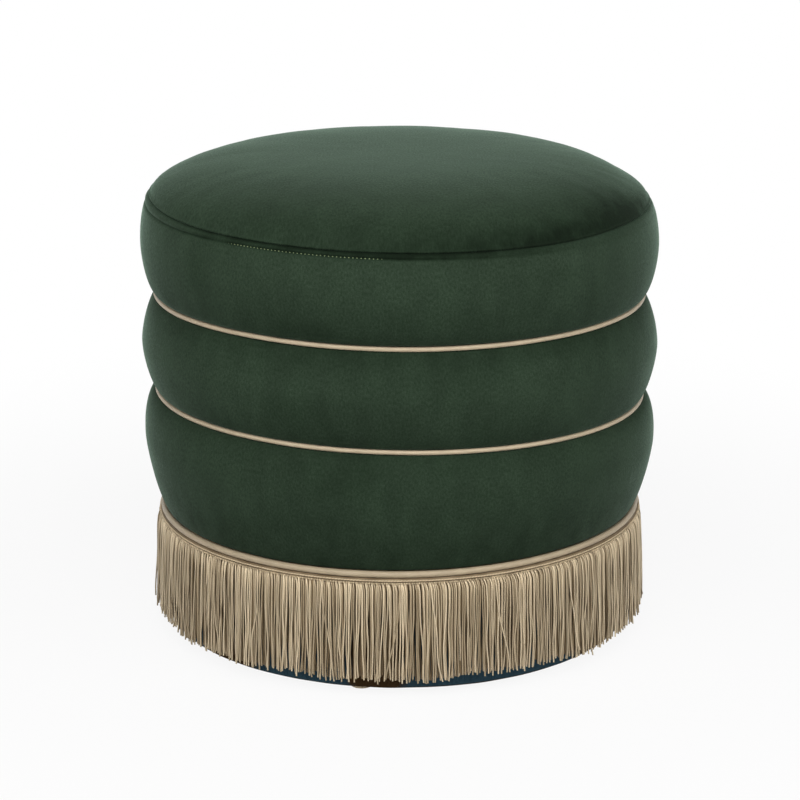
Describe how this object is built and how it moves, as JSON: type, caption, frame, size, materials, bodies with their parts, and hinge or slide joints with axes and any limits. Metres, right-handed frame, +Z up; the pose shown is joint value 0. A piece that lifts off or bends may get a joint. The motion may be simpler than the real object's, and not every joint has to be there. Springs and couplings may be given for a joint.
{
  "type": "tuffet",
  "caption": "Round upholstered footstool or low seat with stacked velvet rolls, corded grooves, a crowned top and a fringed skirt over a recessed plinth.",
  "frame": {"origin": "centre of the tuffet's footprint, on the floor plane that the glides rest on", "axes": "+Z up along the tuffet's axis of revolution, +Y towards the back as pictured, +X to the right"},
  "size_m": [0.4968, 0.4968, 0.4617],
  "materials": {
    "velvet": "dark green cut-pile velvet",
    "cord_cloth": "satin bias cloth over cord",
    "fringe_yarn": "lustrous twisted yarn",
    "plinth_cloth": "plain navy woven cloth",
    "dust_cloth": "black non-woven cloth",
    "foam": "open-cell upholstery foam",
    "wadding": "bonded polyester wadding",
    "plywood": "bare plywood",
    "pine": "bare softwood",
    "fibreboard": "bare bent fibreboard",
    "nylon": "tan moulded nylon",
    "steel": "zinc-plated steel"
  },
  "bodies": {
    "root": {"base_panel": "plywood", "seat_panel": "plywood", "drum_wall": "fibreboard", "stiffening_hoop": "plywood", "hem_batten": "pine", "post_1": "pine", "post_2": "pine", "post_3": "pine", "post_4": "pine", "post_5": "pine", "post_6": "pine", "seat_screw_1": "steel", "seat_screw_2": "steel", "seat_screw_3": "steel", "seat_screw_4": "steel", "seat_screw_5": "steel", "seat_screw_6": "steel", "base_screw_1": "steel", "base_screw_2": "steel", "base_screw_3": "steel", "base_screw_4": "steel", "base_screw_5": "steel", "base_screw_6": "steel", "glide_1": "nylon", "glide_2": "nylon", "glide_3": "nylon", "glide_4": "nylon", "glide_5": "nylon", "glide_6": "nylon", "glide_nail_1": "steel", "glide_nail_2": "steel", "glide_nail_3": "steel", "glide_nail_4": "steel", "glide_nail_5": "steel", "glide_nail_6": "steel", "dust_cover": "dust_cloth", "plinth_cover": "plinth_cloth", "lower_roll_foam": "foam", "middle_roll_foam": "foam", "seat_foam": "foam", "seat_wadding": "wadding", "lower_roll_cover": "velvet", "middle_roll_cover": "velvet", "seat_band_cover": "velvet", "seat_top_cover": "velvet", "upper_cord": "cord_cloth", "middle_cord": "cord_cloth", "skirt_cord": "cord_cloth", "fringe_heading": "fringe_yarn", "fringe_strands": "fringe_yarn"}
  },
  "joints": []
}
